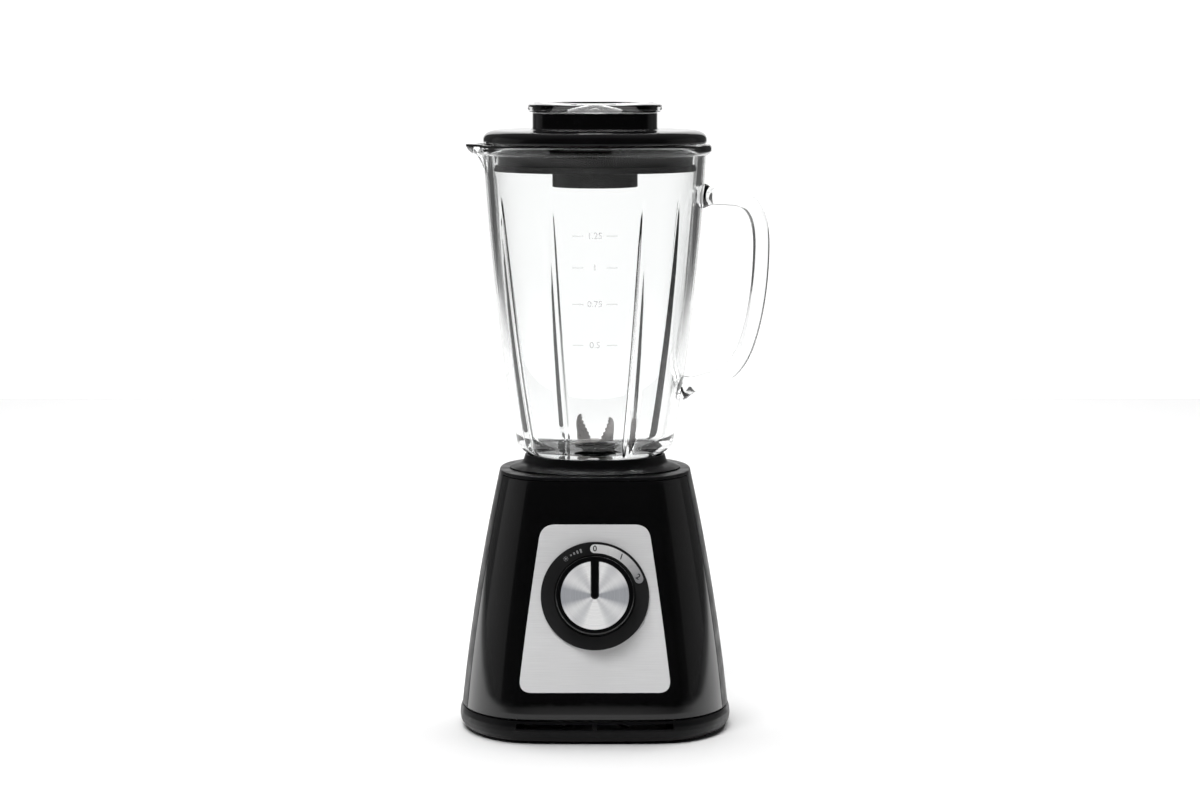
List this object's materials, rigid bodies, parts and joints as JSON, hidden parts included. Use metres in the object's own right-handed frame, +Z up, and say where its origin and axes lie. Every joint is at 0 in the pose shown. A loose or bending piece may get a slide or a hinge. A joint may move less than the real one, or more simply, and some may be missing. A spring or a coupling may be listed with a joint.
{
  "type": "countertop blender",
  "caption": "Countertop blender: lift-off glass jar with handle, spout, lid and measuring cap, on a leaning black motor base with one front speed dial.",
  "frame": {"origin": "on the drive axis of the motor and jar, at the worktop under the feet", "axes": "+Z up, -Y the front with the dial, +X the jar's handle, -X its spout"},
  "size_m": [0.1986, 0.1852, 0.399],
  "materials": {
    "gloss_black": "high-gloss injection-moulded black plastic",
    "matte_black": "fine-textured matte black plastic",
    "rubber": "soft black rubber",
    "steel": "stamped stainless steel",
    "brushed_aluminium": "horizontally brushed aluminium sheet",
    "spun_metal": "spun metal disc with radial highlights",
    "scale_white": "white to grey printed scale band",
    "nylon": "dark engineering plastic",
    "iron": "varnished lamination stack",
    "copper": "enamelled copper",
    "brass": "plain brass and sintered bronze",
    "carbon": "pressed carbon",
    "glass": "clear moulded glass",
    "clear_plastic": "clear moulded plastic"
  },
  "bodies": {
    "base": {"base_tray": "matte_black", "front_panel": "gloss_black", "rear_shell": "matte_black", "jar_seat": "matte_black", "cord_gland": "rubber", "foot_1": "rubber", "foot_2": "rubber", "foot_3": "rubber", "foot_4": "rubber", "housing_screw_1": "steel", "housing_screw_2": "steel", "housing_screw_3": "steel", "housing_screw_4": "steel", "fascia_plate": "brushed_aluminium", "dial_bezel": "matte_black", "dial_scale": "scale_white", "switch_body": "nylon", "stator_core": "iron", "field_coil_left": "copper", "field_coil_right": "copper", "upper_bracket": "steel", "lower_bracket": "steel", "upper_bearing": "brass", "lower_bearing": "brass", "motor_damper_1": "rubber", "motor_damper_2": "rubber", "motor_damper_3": "rubber", "motor_damper_4": "rubber", "motor_screw_1": "steel", "motor_screw_2": "steel", "motor_screw_3": "steel", "motor_screw_4": "steel", "brush_holder_front": "brass", "brush_holder_rear": "brass", "carbon_brush_front": "carbon", "carbon_brush_rear": "carbon"},
    "motor_rotor": {"motor_shaft": "steel", "armature_core": "iron", "armature_winding_top": "copper", "armature_winding_bottom": "copper", "commutator": "copper", "cooling_fan": "nylon", "drive_coupling": "nylon"},
    "knob": {"speed_knob": "gloss_black", "knob_disc": "spun_metal", "switch_shaft": "nylon"},
    "jar": {"glass_jar": "glass", "blade_housing": "matte_black", "blade_gasket": "rubber", "blade_nut": "nylon", "blade_bush": "brass"},
    "blades": {"blade_shaft": "steel", "lower_blade": "steel", "upper_blade": "steel", "blade_cap": "steel", "driven_coupling": "nylon"},
    "lid": {"lid": "gloss_black", "lid_seal": "rubber"},
    "cap": {"measuring_cap": "clear_plastic"}
  },
  "joints": [
    {"name": "motor_spin", "type": "hinge", "parent": "base", "child": "motor_rotor", "pos_m": [0, 0, 0.09], "axis": [0, 0, 1], "continuous": true},
    {"name": "knob_turn", "type": "hinge", "parent": "base", "child": "knob", "pos_m": [0, -0.075, 0.0925], "axis": [0, 0.9869, -0.1616], "range_deg": [-34, 67]},
    {"name": "jar_lift", "type": "slide", "parent": "base", "child": "jar", "axis": [0, 0, 1], "range_m": [0, 0.08]},
    {"name": "blade_spin", "type": "hinge", "parent": "jar", "child": "blades", "pos_m": [0, 0, 0.17], "axis": [0, 0, 1], "continuous": true},
    {"name": "lid_lift", "type": "slide", "parent": "jar", "child": "lid", "axis": [0, 0, 1], "range_m": [0, 0.06]},
    {"name": "cap_lift", "type": "slide", "parent": "lid", "child": "cap", "axis": [0, 0, 1], "range_m": [0, 0.06]}
  ],
  "couplings": [
    {"joint": "blade_spin", "follows": "motor_spin", "ratio": 1}
  ]
}
